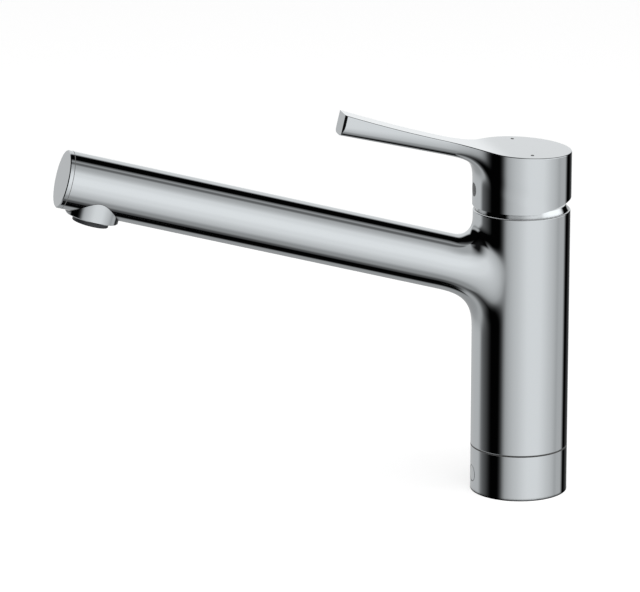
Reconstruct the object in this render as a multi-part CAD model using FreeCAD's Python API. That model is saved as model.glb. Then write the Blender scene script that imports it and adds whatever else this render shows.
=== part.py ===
import FreeCAD, Part
import math
import os

# A single-lever mixer tap for a deck with one hole. All sizes are in millimetres.
# The origin is the middle of the foot on the deck and +Z is up. The spout points along -X,
# and the lever lies above it.

V = FreeCAD.Vector

# Fits and gaps
RUN_CLEAR = 0.05            # radial clearance of a piece that turns on another
FIT_CLEAR = 0.05            # radial clearance of a fixed piece in its seat
DISC_GAP = 0.02             # water film between the two ceramic discs
SWING_GAP = 0.3             # room between pieces that move past each other
BALL_CLEAR = 0.1            # radial clearance of the spindle's ball in its carrier
OVERRUN = 1.0               # how far a cutting shape runs past the face it opens
MERGE = 0.05                # how far two shapes run into each other where they are joined
NEAR = 0.01                 # distance that counts as touching when an edge is picked

# Cartridge
CARTRIDGE_D = 35.0
CARTRIDGE_BASE_T = 5.0
CARTRIDGE_BODY_H = 19.5
CARTRIDGE_WALL = 1.5
NECK_D = 28.0
NECK_H = 16.0
NECK_WALL = 1.7
SHOULDER_T = 1.5
FIXED_DISC_T = 3.0
MOVING_DISC_D = 20.0
MOVING_DISC_T = 3.0
MIX_POCKET_D = 11.0
MIX_POCKET_DEPTH = 1.2
INLET_PORT_D = 6.0
MIX_PORT_D = 7.0
INLET_SPREAD = 15.0         # distance between the hot and the cold port
INLET_OFFSET = 3.5          # ports set back from the axis, away from the spout
MIX_OFFSET = 8.0            # outlet port set forward of the axis
PORT_SEAL_THICK = 1.8
CARRIER_D = 20.4
CARRIER_T = 5.0
KEY_W = 12.0
KEY_LENGTH = 16.0
KEY_H = 3.0
BALL_D = 6.0
BALL_FLOOR = 0.5
SHANK_D = 4.8
PIVOT_BELOW_NECK = 4.5
PIVOT_PIN_D = 3.5
PIVOT_PIN_LENGTH = 22.0
SPINDLE_SQUARE = 8.0
SPINDLE_REACH = 15.5        # length of spindle held in the handle
ROTOR_BELOW_NECK = 0.5
LIFT_ANGLE = 13.0           # how far the lever tips up

# Core, bearings and column
NUT_THREAD_DEPTH = 1.0
NUT_THREAD_LENGTH = 7.5
NUT_COLLAR_D = 34.0
NUT_COLLAR_H = 3.0
NUT_SLOT_W = 4.0
NUT_SLOT_DEPTH = 0.75
CORE_WALL = 2.2
BEARING_T = 0.6
BEARING_LENGTH = 8.0
BEARING_FLANGE_T = 0.5
BEARING_SHY = 0.5           # how far the bearing flanges stay back from the chrome
SEAL_THICK = 2.5
SEAL_BAND = 1.0             # metal beside each seal groove
CHANNEL_DEPTH = 1.2
CHANNEL_MARGIN = 1.5
SLEEVE_WALL = 3.55
SLEEVE_H = 125.0
RIM_ROUND = 0.5
RIM_LIP = 1.0               # column wall that shows round the trim ring
TRIM_STEP = 3.1             # depth of the step that takes the trim ring
TRIM_SHOW = 0.5             # the cone starts this far below the rim
TRIM_RISE = 3.5
TRIM_TAPER = 1.4
TRIM_TOP_T = 2.0
TRIM_NECK_GAP = 0.6
O_RING_THICK = 1.4
INLET_BORE_D = 8.0
INLET_THREAD_D = 9.0        # tapping size of M10x1
INLET_THREAD_DEPTH = 12.0
STUD_THREAD_D = 6.8         # tapping size of M8
STUD_THREAD_DEPTH = 16.0
STUD_OFFSET = 10.0
MIX_BORE_D = 9.0

# Foot
BASE_H = 23.5
BASE_WALL = 3.5
FOOT_T = 12.0
FOOT_OPENING_D = 28.0
GASKET_T = 2.0
GASKET_W = 4.0
FOOT_SCREW_D = 3.0
FOOT_SCREW_HEAD_D = 5.5
FOOT_SCREW_HEAD_H = 3.0
FOOT_SCREW_GRIP = 7.0       # thread length in the core
FOOT_SCREW_COUNT = 3
CLAMP_Z = 9.3
CLAMP_SCREW_D = 6.0
CLAMP_SCREW_LENGTH = 6.0
CLAMP_HEX_D = 3.0
CLAMP_HEX_DEPTH = 2.5
COVER_D = 8.7
COVER_T = 1.4
STOP_PIN_D = 1.8
STOP_PIN_DEPTH = 6.0
STOP_PIN_RISE = 3.5
STOP_PIN_INSET = 2.1        # from the outside of the base to the middle of the pin
SWIVEL_ANGLE = 60.0         # each way

# Spout
SPOUT_D = 29.4
SPOUT_WALL = 2.2
SPOUT_TILT = 15.44
SPOUT_LENGTH = 246.3        # from the column's axis to the end face
SPOUT_DROP = 36.3           # from the rim down to where the two axes cross
SPOUT_BORE_START = 36.0
SPOUT_PORT_D = 17.0
BLEND_TOP = 9.6
BLEND_BOTTOM = 30.0
END_CAP_T = 2.2
END_CAP_GAP = 0.3
END_CAP_CHAMFER = 0.45
END_PLUG_LENGTH = 5.5
END_PLUG_HOLLOW = 18.0
OUTLET_BACK = 19.6          # from the end face back to the outlet's axis
COLLAR_D = 27.0
COLLAR_DROP = 16.2          # from the spout's axis to the collar's lower face
COLLAR_GAP = 0.15
COLLAR_CHAMFER = 0.4
NIPPLE_D = 21.9
NIPPLE_TOP = 6.5
AERATOR_D = 18.4
AERATOR_WALL = 1.2
AERATOR_LIP = 0.9
AERATOR_LIP_T = 1.0
AERATOR_SHOW = 2.8
AERATOR_SEAT = 10.0         # from the spout's axis to the washer's upper face
WASHER_T = 1.2
WASHER_W = 1.6
MESH_T = 0.6
INSERT_HOLE_D = 1.2
INSERT_HOLE_RINGS = (3.0, 5.2)

# Handle
HANDLE_OVERHANG = 0.4       # how far the handle's wall stands out past the column
HANDLE_LIFT = 2.7           # gap between rim and handle
HANDLE_H = 29.7             # from its lower edge to the top face on the axis
HANDLE_TOP_TILT = 3.47
HANDLE_RELIEF_TILT = 10.0
HANDLE_RELIEF_START = 0.8
SKIRT_T = 1.3
SKIRT_DEPTH = 4.7
HANDLE_WALL = 2.9
HANDLE_ROOF = 6.5
BOSS_D = 18.0
BOSS_GAP = 3.0
GRIP_SCREW_RISE = 3.0       # from the boss's lower face to the screw's axis
GRIP_SCREW_D = 5.0
GRIP_HEX_D = 2.5
GRIP_HEX_DEPTH = 2.0
ACCESS_D = 5.6
PLUG_D = 7.1
PLUG_T = 2.0
DOT_D = 1.5
DOT_T = 0.4
DOT_AT = 18.75

# Lever
LEVER_REACH = 93.6          # from the axis to the top of the tip
LEVER_WIDTH = 14.0
LEVER_TIP_T = 11.2
LEVER_TIP_LEAN = 15.0       # the end face leans out towards its foot
LEVER_RISE = 17.2           # how far the tip stands above the handle's tilted top face
LEVER_RISE_START = 12.0     # from the axis to where the top starts to rise
LEVER_FIRST_TILT = 7.0      # extra slope of the top where it starts to rise
LEVER_UNDER_TILT = 13.7
LEVER_FLARE = 34.0          # plan radius between the round handle and the lever's sides
LEVER_HEEL = 12.0           # radius under the lever, against the handle's wall
LEVER_LOWER_ROUND = 1.5

# Radii from the cartridge outwards
CARTRIDGE_R = CARTRIDGE_D / 2
POCKET_R = CARTRIDGE_R + FIT_CLEAR
NUT_R = POCKET_R + NUT_THREAD_DEPTH
CORE_R = NUT_R + CORE_WALL
BEARING_R = CORE_R + FIT_CLEAR + BEARING_T
SLEEVE_BORE_R = BEARING_R + RUN_CLEAR
COLUMN_R = SLEEVE_BORE_R + SLEEVE_WALL
NECK_R = NECK_D / 2
NECK_BORE_R = NECK_R - NECK_WALL
CAN_BORE_R = CARTRIDGE_R - CARTRIDGE_WALL
ROTOR_R = NECK_BORE_R - RUN_CLEAR
TRIM_BORE_R = COLUMN_R - RIM_LIP
TRIM_R = TRIM_BORE_R - RUN_CLEAR
TRIM_TOP_R = TRIM_R - TRIM_TAPER
COLLAR_TOP_R = NUT_COLLAR_D / 2
BASE_BORE_R = COLUMN_R - BASE_WALL
FOOT_R = BASE_BORE_R - FIT_CLEAR
FOOT_SCREW_CIRCLE_R = (FOOT_R + FOOT_OPENING_D / 2) / 2
STOP_PIN_CIRCLE_R = COLUMN_R - STOP_PIN_INSET
FLANGE_R = COLUMN_R - BEARING_SHY
SPOUT_R = SPOUT_D / 2
SPOUT_BORE_R = SPOUT_R - SPOUT_WALL
HANDLE_R = COLUMN_R + HANDLE_OVERHANG
SKIRT_BORE_R = HANDLE_R - SKIRT_T
HANDLE_BORE_R = HANDLE_R - HANDLE_WALL
AERATOR_R = AERATOR_D / 2
AERATOR_BORE_R = AERATOR_R - AERATOR_WALL
COLLAR_R = COLLAR_D / 2

# Heights from the deck upwards
CORE_Z = GASKET_T + FOOT_T
SLEEVE_Z = BASE_H + BEARING_FLANGE_T + RUN_CLEAR
RIM_Z = SLEEVE_Z + SLEEVE_H
CORE_TOP = RIM_Z - TRIM_STEP
TRIM_Z = CORE_TOP + RUN_CLEAR + BEARING_FLANGE_T
TRIM_CONE_Z = RIM_Z - TRIM_SHOW
TRIM_TOP = TRIM_CONE_Z + TRIM_RISE
SHOULDER_Z = CORE_TOP - NUT_THREAD_LENGTH
CAN_Z = SHOULDER_Z - CARTRIDGE_BODY_H
SEAT_Z = CAN_Z - CARTRIDGE_BASE_T
NECK_TOP = SHOULDER_Z + NECK_H
PIVOT_Z = NECK_TOP - PIVOT_BELOW_NECK
MOVING_DISC_Z = CAN_Z + FIXED_DISC_T + DISC_GAP
CARRIER_Z = MOVING_DISC_Z + MOVING_DISC_T
KEY_Z = CARRIER_Z + CARRIER_T
BALL_Z = CARRIER_Z + BALL_FLOOR + BALL_D / 2
ROTOR_Z = KEY_Z + SWING_GAP
ROTOR_TOP = NECK_TOP - ROTOR_BELOW_NECK
SPOUT_Z = RIM_Z - SPOUT_DROP
PORT_Z = SPOUT_Z + SLEEVE_BORE_R * math.tan(math.radians(SPOUT_TILT))
PORT_HALF_H = SPOUT_PORT_D / 2 / math.cos(math.radians(SPOUT_TILT))
MIX_Z = SEAT_Z - MIX_BORE_D / 2 - CHANNEL_MARGIN
CHANNEL_TOP = PORT_Z + PORT_HALF_H + CHANNEL_MARGIN
CHANNEL_Z = MIX_Z - MIX_BORE_D / 2 - CHANNEL_MARGIN
UPPER_SEAL_Z = CHANNEL_TOP + SEAL_BAND + SEAL_THICK / 2
LOWER_SEAL_Z = CHANNEL_Z - SEAL_BAND - SEAL_THICK / 2
HANDLE_Z = RIM_Z + HANDLE_LIFT
HANDLE_TOP = HANDLE_Z + HANDLE_H
BOSS_Z = NECK_TOP + BOSS_GAP
GRIP_SCREW_Z = BOSS_Z + GRIP_SCREW_RISE
SPINDLE_TOP = BOSS_Z + SPINDLE_REACH
SPOUT_TUBE_END = SPOUT_LENGTH - END_CAP_T - END_CAP_GAP
OUTLET_AT = SPOUT_LENGTH - OUTLET_BACK
AERATOR_Z = AERATOR_SEAT + WASHER_T
AERATOR_BOTTOM = COLLAR_DROP + AERATOR_SHOW

INLET_PLACES = ((INLET_OFFSET, -INLET_SPREAD / 2), (INLET_OFFSET, INLET_SPREAD / 2))
MIX_PLACE = (-MIX_OFFSET, 0.0)

SPOUT_DIRECTION = V(-math.cos(math.radians(SPOUT_TILT)), 0, math.sin(math.radians(SPOUT_TILT)))
SPOUT_FRAME = FreeCAD.Placement(V(0, 0, SPOUT_Z), FreeCAD.Rotation(V(0, 1, 0), SPOUT_TILT - 90))
OUTLET_FRAME = FreeCAD.Placement(
    V(0, 0, SPOUT_Z) + SPOUT_DIRECTION * OUTLET_AT,
    FreeCAD.Rotation(V(0, 1, 0), SPOUT_TILT + 180),
)


def disc(radius, low, high, x=0.0, y=0.0):
    """An upright cylinder between two heights."""
    return Part.makeCylinder(radius, high - low, V(x, y, low))


def ring(outer, inner, low, high, x=0.0, y=0.0):
    """An upright tube between two heights."""
    return disc(outer, low, high, x, y).cut(disc(inner, low - OVERRUN, high + OVERRUN, x, y))


def rod_x(radius, x_from, x_to, z):
    """A cylinder that lies along X."""
    return Part.makeCylinder(radius, abs(x_to - x_from), V(min(x_from, x_to), 0, z), V(1, 0, 0))


def o_ring(outer, thick, z, x=0.0, y=0.0):
    """A round-section ring with its outer edge at the given radius."""
    return Part.makeTorus(outer - thick / 2, thick / 2, V(x, y, z))


def block(x_from, x_to, half_width, low, high):
    """A block that is symmetrical about the XZ plane."""
    return Part.makeBox(x_to - x_from, 2 * half_width, high - low, V(x_from, -half_width, low))


def turned(points):
    """A solid of revolution about Z from a closed outline of (radius, height) points."""
    outline = Part.makePolygon([V(r, 0, z) for r, z in points + points[:1]])
    return Part.Face(outline).revolve(V(0, 0, 0), V(0, 0, 1), 360)


def hexagon(across, x_from, x_to, z):
    """A six-sided key socket that lies along X."""
    corner = across / math.sqrt(3)
    sides = 6
    points = []
    for step in range(sides + 1):
        angle = 2 * math.pi * step / sides
        points.append(V(x_from, corner * math.cos(angle), z + corner * math.sin(angle)))
    return Part.Face(Part.makePolygon(points)).extrude(V(x_to - x_from, 0, 0))


def around(shape, count, first=0.0):
    """Copies of a shape spaced evenly about Z."""
    copies = []
    for index in range(count):
        copy = shape.copy()
        copy.rotate(V(0, 0, 0), V(0, 0, 1), first + 360.0 * index / count)
        copies.append(copy)
    return copies


def placed(shape, frame):
    """A copy of a shape moved from its own frame to the tap's."""
    copy = shape.copy()
    copy.Placement = frame.multiply(copy.Placement)
    return copy


# Foot

def foot_screw_seat(clearance):
    """One foot screw, or its hole when a clearance is given."""
    head_z = GASKET_T + SWING_GAP
    head = disc(FOOT_SCREW_HEAD_D / 2 + clearance, head_z - clearance, head_z + FOOT_SCREW_HEAD_H,
                FOOT_SCREW_CIRCLE_R)
    shank = disc(FOOT_SCREW_D / 2 + clearance, head_z + FOOT_SCREW_HEAD_H, CORE_Z + FOOT_SCREW_GRIP,
                 FOOT_SCREW_CIRCLE_R)
    if clearance:
        mouth = disc(FOOT_SCREW_HEAD_D / 2 + clearance, -OVERRUN, head_z, FOOT_SCREW_CIRCLE_R)
        return head.fuse([shank, mouth])
    return head.fuse(shank)


def foot_screws():
    return Part.makeCompound(around(foot_screw_seat(0), FOOT_SCREW_COUNT))


def clamp_screw_span():
    """Where the clamp screw starts and ends along X."""
    outer = -COLUMN_R + COVER_T + FIT_CLEAR
    return outer, outer + CLAMP_SCREW_LENGTH


def base_housing():
    body = ring(COLUMN_R, BASE_BORE_R, 0, BASE_H)
    cover_seat = rod_x(COVER_D / 2 + FIT_CLEAR, -COLUMN_R - OVERRUN, -COLUMN_R + COVER_T, CLAMP_Z)
    screw_hole = rod_x(CLAMP_SCREW_D / 2, -COLUMN_R, -BASE_BORE_R + OVERRUN, CLAMP_Z)
    pin_hole = disc(STOP_PIN_D / 2, BASE_H - STOP_PIN_DEPTH, BASE_H + OVERRUN, STOP_PIN_CIRCLE_R)
    return body.cut([cover_seat, screw_hole, pin_hole])


def base_screw_cover():
    cover = rod_x(COVER_D / 2, -COLUMN_R - OVERRUN, -COLUMN_R + COVER_T, CLAMP_Z)
    return cover.common(disc(COLUMN_R, 0, BASE_H))


def base_clamp_screw():
    outer, inner = clamp_screw_span()
    screw = rod_x(CLAMP_SCREW_D / 2, outer, inner, CLAMP_Z)
    return screw.cut(hexagon(CLAMP_HEX_D, outer, outer + CLAMP_HEX_DEPTH, CLAMP_Z))


def mounting_foot():
    foot = ring(FOOT_R, FOOT_OPENING_D / 2, GASKET_T, CORE_Z)
    inner = clamp_screw_span()[1]
    screw_seat = rod_x(CLAMP_SCREW_D / 2 + FIT_CLEAR, -FOOT_R - OVERRUN, inner, CLAMP_Z)
    holes = around(foot_screw_seat(FIT_CLEAR), FOOT_SCREW_COUNT)
    return foot.cut([screw_seat] + holes)


def base_gasket():
    return ring(FOOT_R, FOOT_R - GASKET_W, 0, GASKET_T)


def swivel_stop_pin():
    return disc(STOP_PIN_D / 2, BASE_H - STOP_PIN_DEPTH, SLEEVE_Z + STOP_PIN_RISE, STOP_PIN_CIRCLE_R)


# Core and bearings

def seal_groove(z):
    """The groove in the core that holds one swivel seal."""
    depth_r = SLEEVE_BORE_R - RUN_CLEAR - SEAL_THICK
    half = SEAL_THICK / 2 + FIT_CLEAR
    return ring(CORE_R + OVERRUN, depth_r, z - half, z + half)


def inner_body():
    core = disc(CORE_R, CORE_Z, CORE_TOP)
    cuts = [
        disc(POCKET_R, SEAT_Z, CORE_TOP + OVERRUN),
        disc(NUT_R, SHOULDER_Z, CORE_TOP + OVERRUN),
        ring(CORE_R + OVERRUN, CORE_R - CHANNEL_DEPTH, CHANNEL_Z, CHANNEL_TOP),
        seal_groove(UPPER_SEAL_Z),
        seal_groove(LOWER_SEAL_Z),
        disc(MIX_BORE_D / 2, MIX_Z, SEAT_Z + OVERRUN, *MIX_PLACE),
        rod_x(MIX_BORE_D / 2, MIX_PLACE[0], -CORE_R - OVERRUN, MIX_Z),
        disc(STUD_THREAD_D / 2, CORE_Z - OVERRUN, CORE_Z + STUD_THREAD_DEPTH, -STUD_OFFSET),
    ]
    for x, y in INLET_PLACES:
        cuts.append(disc(INLET_BORE_D / 2, CORE_Z - OVERRUN, SEAT_Z + OVERRUN, x, y))
        cuts.append(disc(INLET_THREAD_D / 2, CORE_Z - OVERRUN, CORE_Z + INLET_THREAD_DEPTH, x, y))
    screw_hole = disc(FOOT_SCREW_D / 2, CORE_Z - OVERRUN, CORE_Z + FOOT_SCREW_GRIP, FOOT_SCREW_CIRCLE_R)
    return core.cut(cuts + around(screw_hole, FOOT_SCREW_COUNT))


def swivel_seal(z):
    return o_ring(SLEEVE_BORE_R - RUN_CLEAR, SEAL_THICK, z)


def lower_bearing_ring():
    flange = ring(FLANGE_R, CORE_R + FIT_CLEAR, BASE_H, BASE_H + BEARING_FLANGE_T)
    tube = ring(BEARING_R, CORE_R + FIT_CLEAR, BASE_H, BASE_H + BEARING_FLANGE_T + BEARING_LENGTH)
    pin_hole = disc(STOP_PIN_D / 2 + FIT_CLEAR, BASE_H - OVERRUN, SLEEVE_Z, STOP_PIN_CIRCLE_R)
    return flange.fuse(tube).cut(pin_hole)


def upper_bearing_ring():
    flange = ring(TRIM_R, CORE_R + FIT_CLEAR, TRIM_Z - BEARING_FLANGE_T, TRIM_Z)
    tube = ring(BEARING_R, CORE_R + FIT_CLEAR, TRIM_Z - BEARING_FLANGE_T - BEARING_LENGTH, TRIM_Z)
    return flange.fuse(tube)


# Cartridge

def port_holes(low, high, clearance=0.0):
    """The two inlet ports and the outlet port through a plate."""
    holes = [disc(INLET_PORT_D / 2 + clearance, low - OVERRUN, high + OVERRUN, x, y) for x, y in INLET_PLACES]
    holes.append(disc(MIX_PORT_D / 2 + clearance, low - OVERRUN, high + OVERRUN, *MIX_PLACE))
    return holes


def port_seal_radii():
    """Outer radius and place of each ring under the cartridge."""
    outer = [(INLET_PORT_D / 2 + PORT_SEAL_THICK, x, y) for x, y in INLET_PLACES]
    outer.append((MIX_PORT_D / 2 + PORT_SEAL_THICK, MIX_PLACE[0], MIX_PLACE[1]))
    return outer


def cartridge_base():
    plate = disc(CARTRIDGE_R, SEAT_Z, CAN_Z)
    cuts = port_holes(SEAT_Z, CAN_Z)
    for radius, x, y in port_seal_radii():
        cuts.append(disc(radius + FIT_CLEAR, SEAT_Z - OVERRUN, SEAT_Z + PORT_SEAL_THICK + FIT_CLEAR, x, y))
    return plate.cut(cuts)


def cartridge_port_seals():
    half = PORT_SEAL_THICK / 2
    rings = [o_ring(radius, PORT_SEAL_THICK, SEAT_Z + half, x, y) for radius, x, y in port_seal_radii()]
    return Part.makeCompound(rings)


def fixed_disc():
    plate = disc(CAN_BORE_R - FIT_CLEAR, CAN_Z, CAN_Z + FIXED_DISC_T)
    return plate.cut(port_holes(CAN_Z, CAN_Z + FIXED_DISC_T))


def cartridge_housing():
    can = disc(CARTRIDGE_R, CAN_Z, SHOULDER_Z)
    neck = disc(NECK_R, SHOULDER_Z - MERGE, NECK_TOP)
    room = disc(CAN_BORE_R, CAN_Z - OVERRUN, SHOULDER_Z - SHOULDER_T)
    throat = disc(NECK_BORE_R, CAN_Z, NECK_TOP + OVERRUN)
    return can.fuse(neck).cut([room, throat])


def moving_disc():
    plate = disc(MOVING_DISC_D / 2, MOVING_DISC_Z, CARRIER_Z)
    return plate.cut(disc(MIX_POCKET_D / 2, MOVING_DISC_Z - OVERRUN, MOVING_DISC_Z + MIX_POCKET_DEPTH))


def shank_sweep(height):
    """How far the spindle's shank swings towards the spout at a height above the ball."""
    return height * math.tan(math.radians(LIFT_ANGLE))


def disc_carrier():
    plate = disc(CARRIER_D / 2, CARRIER_Z, KEY_Z)
    key = block(-KEY_LENGTH / 2, KEY_LENGTH / 2, KEY_W / 2, KEY_Z, KEY_Z + KEY_H)
    pocket = disc(BALL_D / 2 + BALL_CLEAR, CARRIER_Z + BALL_FLOOR - SWING_GAP, KEY_Z + KEY_H + OVERRUN)
    reach = SHANK_D / 2 + shank_sweep(KEY_Z + KEY_H - BALL_Z) + SWING_GAP
    mouth = block(-reach, reach, SHANK_D / 2 + SWING_GAP, BALL_Z + SHANK_D / 2, KEY_Z + KEY_H + OVERRUN)
    return plate.fuse(key).cut([pocket, mouth])


def lever_guide():
    body = disc(ROTOR_R, ROTOR_Z, ROTOR_TOP)
    flange = disc(CAN_BORE_R - RUN_CLEAR, ROTOR_Z, SHOULDER_Z - SHOULDER_T - RUN_CLEAR)
    key_way = block(-CARTRIDGE_R, CARTRIDGE_R, KEY_W / 2 + RUN_CLEAR, ROTOR_Z - OVERRUN,
                    KEY_Z + KEY_H + SWING_GAP)
    swing = shank_sweep(PIVOT_Z - ROTOR_Z)
    slot = block(-SHANK_D / 2 - swing - SWING_GAP, SPINDLE_SQUARE / 2 + shank_sweep(SPINDLE_SQUARE),
                 SPINDLE_SQUARE / 2 + RUN_CLEAR, ROTOR_Z - OVERRUN, ROTOR_TOP + OVERRUN)
    return body.fuse(flange).cut([key_way, slot, pivot_hole(PIVOT_PIN_D / 2)])


def pivot_hole(radius):
    """A rod along Y through the lever's pivot."""
    return Part.makeCylinder(radius, PIVOT_PIN_LENGTH, V(0, -PIVOT_PIN_LENGTH / 2, PIVOT_Z), V(0, 1, 0))


def pivot_pin():
    return pivot_hole(PIVOT_PIN_D / 2)


def spindle():
    half = SPINDLE_SQUARE / 2
    ball = Part.makeSphere(BALL_D / 2, V(0, 0, BALL_Z))
    shank = disc(SHANK_D / 2, BALL_Z, PIVOT_Z - half)
    stem = block(-half, half, half, PIVOT_Z - half, SPINDLE_TOP)
    bore = pivot_hole(PIVOT_PIN_D / 2 + RUN_CLEAR)
    return ball.fuse([shank, stem]).cut(bore)


def cartridge_nut():
    body = disc(NUT_R - FIT_CLEAR, SHOULDER_Z, CORE_TOP)
    collar = disc(COLLAR_TOP_R, CORE_TOP, CORE_TOP + NUT_COLLAR_H)
    bore = disc(NECK_R + FIT_CLEAR, SHOULDER_Z - OVERRUN, CORE_TOP + NUT_COLLAR_H + OVERRUN)
    groove = ring(COLLAR_TOP_R + OVERRUN, COLLAR_TOP_R + FIT_CLEAR - O_RING_THICK,
                  TRIM_Z + FIT_CLEAR, TRIM_Z + FIT_CLEAR + O_RING_THICK)
    top = CORE_TOP + NUT_COLLAR_H
    slot = block(-CARTRIDGE_R, CARTRIDGE_R, NUT_SLOT_W / 2, top - NUT_SLOT_DEPTH, top + OVERRUN)
    return body.fuse(collar).cut([bore, groove] + around(slot, 2, 45))


def trim_o_ring():
    return o_ring(COLLAR_TOP_R + FIT_CLEAR, O_RING_THICK, TRIM_Z + FIT_CLEAR + O_RING_THICK / 2)


def trim_ring():
    inner = COLLAR_TOP_R + FIT_CLEAR
    neck_gap = NECK_R + TRIM_NECK_GAP
    return turned([
        (inner, TRIM_Z),
        (TRIM_R, TRIM_Z),
        (TRIM_R, TRIM_CONE_Z),
        (TRIM_TOP_R, TRIM_TOP),
        (neck_gap, TRIM_TOP),
        (neck_gap, TRIM_TOP - TRIM_TOP_T),
        (inner, TRIM_TOP - TRIM_TOP_T),
    ])


# Spout

def spout_rod(radius, start, end):
    """A cylinder about the spout's axis."""
    return placed(disc(radius, start, end), SPOUT_FRAME)


def outlet_rod(radius, start, end):
    """A cylinder about the outlet's axis, measured down from the spout's axis."""
    return placed(disc(radius, start, end), OUTLET_FRAME)


def meets_both(edge):
    """True for the line where the column and the spout meet, on the spout's side."""
    samples = 7
    for point in edge.discretize(samples):
        from_axis = point - V(0, 0, SPOUT_Z)
        along = from_axis.dot(SPOUT_DIRECTION)
        across = (from_axis - SPOUT_DIRECTION * along).Length
        if abs(across - SPOUT_R) > NEAR or abs(math.hypot(point.x, point.y) - COLUMN_R) > NEAR:
            return False
    return along > 0


def outer_half():
    """One side of the column and spout, with the fillet that grows from top to bottom."""
    column = disc(COLUMN_R, SLEEVE_Z, RIM_Z)
    tube = spout_rod(SPOUT_R, 0, SPOUT_TUBE_END)
    reach = SPOUT_LENGTH + COLUMN_R
    side = Part.makeBox(2 * reach, reach, 2 * reach + RIM_Z, V(-reach, 0, -reach))
    half = column.fuse(tube).removeSplitter().common(side)
    joint = [edge for edge in half.Edges if meets_both(edge)]
    return half.makeFillet(BLEND_TOP, BLEND_BOTTOM, joint)


def outer_form():
    """Column and spout as one solid block with their blend and the rounded rim."""
    half = outer_half()
    whole = half.fuse(half.mirror(V(0, 0, 0), V(0, 1, 0)))
    return whole.cut(rim_rounding())


def rim_rounding():
    """What the round on the column's top edge takes away."""
    centre_r = COLUMN_R - RIM_ROUND
    centre_z = RIM_Z - RIM_ROUND
    bend = RIM_ROUND * math.sqrt(0.5)
    edges = [
        Part.Arc(V(centre_r, 0, RIM_Z), V(centre_r + bend, 0, centre_z + bend),
                 V(COLUMN_R, 0, centre_z)).toShape(),
        Part.makeLine(V(COLUMN_R, 0, centre_z), V(COLUMN_R + OVERRUN, 0, centre_z)),
        Part.makeLine(V(COLUMN_R + OVERRUN, 0, centre_z), V(COLUMN_R + OVERRUN, 0, RIM_Z + OVERRUN)),
        Part.makeLine(V(COLUMN_R + OVERRUN, 0, RIM_Z + OVERRUN), V(centre_r, 0, RIM_Z + OVERRUN)),
        Part.makeLine(V(centre_r, 0, RIM_Z + OVERRUN), V(centre_r, 0, RIM_Z)),
    ]
    return Part.Face(Part.Wire(edges)).revolve(V(0, 0, 0), V(0, 0, 1), 360)


def stop_groove():
    """The arc in the column's lower edge that the stop pin runs in."""
    pin_r = STOP_PIN_D / 2
    outer = STOP_PIN_CIRCLE_R + pin_r + SWING_GAP
    slack = math.degrees((pin_r + SWING_GAP) / STOP_PIN_CIRCLE_R)
    sweep = 2 * (SWIVEL_ANGLE + slack)
    face = Part.Face(Part.makePolygon([
        V(SLEEVE_BORE_R - OVERRUN, 0, SLEEVE_Z - OVERRUN),
        V(outer, 0, SLEEVE_Z - OVERRUN),
        V(outer, 0, SLEEVE_Z + STOP_PIN_RISE + SWING_GAP),
        V(SLEEVE_BORE_R - OVERRUN, 0, SLEEVE_Z + STOP_PIN_RISE + SWING_GAP),
        V(SLEEVE_BORE_R - OVERRUN, 0, SLEEVE_Z - OVERRUN),
    ]))
    groove = face.revolve(V(0, 0, 0), V(0, 0, 1), sweep)
    groove.rotate(V(0, 0, 0), V(0, 0, 1), -sweep / 2)
    return groove


def spout_body():
    cuts = [
        disc(SLEEVE_BORE_R, SLEEVE_Z - OVERRUN, RIM_Z + OVERRUN),
        disc(TRIM_BORE_R, CORE_TOP, RIM_Z + OVERRUN),
        stop_groove(),
        spout_rod(SPOUT_PORT_D / 2, 0, SPOUT_BORE_START + OVERRUN),
        spout_rod(SPOUT_BORE_R, SPOUT_BORE_START, SPOUT_TUBE_END + OVERRUN),
        outlet_rod(NIPPLE_D / 2 + FIT_CLEAR, 0, SPOUT_R + OVERRUN),
    ]
    return outer_form().cut(cuts)


def spout_end_cap():
    face = disc(SPOUT_R, SPOUT_LENGTH - END_CAP_T, SPOUT_LENGTH)
    front = [edge for edge in face.Edges if edge.BoundBox.ZMin > SPOUT_LENGTH - END_CAP_CHAMFER]
    face = face.makeChamfer(END_CAP_CHAMFER, front)
    plug_end = SPOUT_LENGTH - END_CAP_T - END_PLUG_LENGTH
    plug = disc(SPOUT_BORE_R - FIT_CLEAR, plug_end, SPOUT_LENGTH - END_CAP_T)
    groove_z = end_ring_place()
    groove = ring(SPOUT_BORE_R + OVERRUN, SPOUT_BORE_R - O_RING_THICK, groove_z - O_RING_THICK / 2,
                  groove_z + O_RING_THICK / 2)
    hollow = disc(END_PLUG_HOLLOW / 2, plug_end - OVERRUN, SPOUT_LENGTH - END_CAP_T)
    return placed(face.fuse(plug).cut([groove, hollow]), SPOUT_FRAME)


def end_ring_place():
    """Middle of the end cap's ring along the spout."""
    return SPOUT_LENGTH - END_CAP_T - END_PLUG_LENGTH / 2


def end_cap_o_ring():
    return placed(o_ring(SPOUT_BORE_R, O_RING_THICK, end_ring_place()), SPOUT_FRAME)


def outlet_collar():
    skirt = disc(COLLAR_R, 0, COLLAR_DROP)
    lower = [edge for edge in skirt.Edges if abs(edge.BoundBox.ZMin - COLLAR_DROP) < NEAR]
    skirt = placed(skirt.makeChamfer(COLLAR_CHAMFER, lower), OUTLET_FRAME)
    skirt = skirt.cut(spout_rod(SPOUT_R + COLLAR_GAP, OUTLET_AT - SPOUT_D, OUTLET_AT + SPOUT_D))
    nipple = outlet_rod(NIPPLE_D / 2, NIPPLE_TOP, COLLAR_DROP - COLLAR_CHAMFER)
    bore = outlet_rod(AERATOR_R + FIT_CLEAR, AERATOR_SEAT, COLLAR_DROP + OVERRUN)
    throat = outlet_rod(AERATOR_BORE_R, NIPPLE_TOP - OVERRUN, AERATOR_SEAT + OVERRUN)
    return skirt.fuse(nipple).cut([bore, throat])


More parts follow.
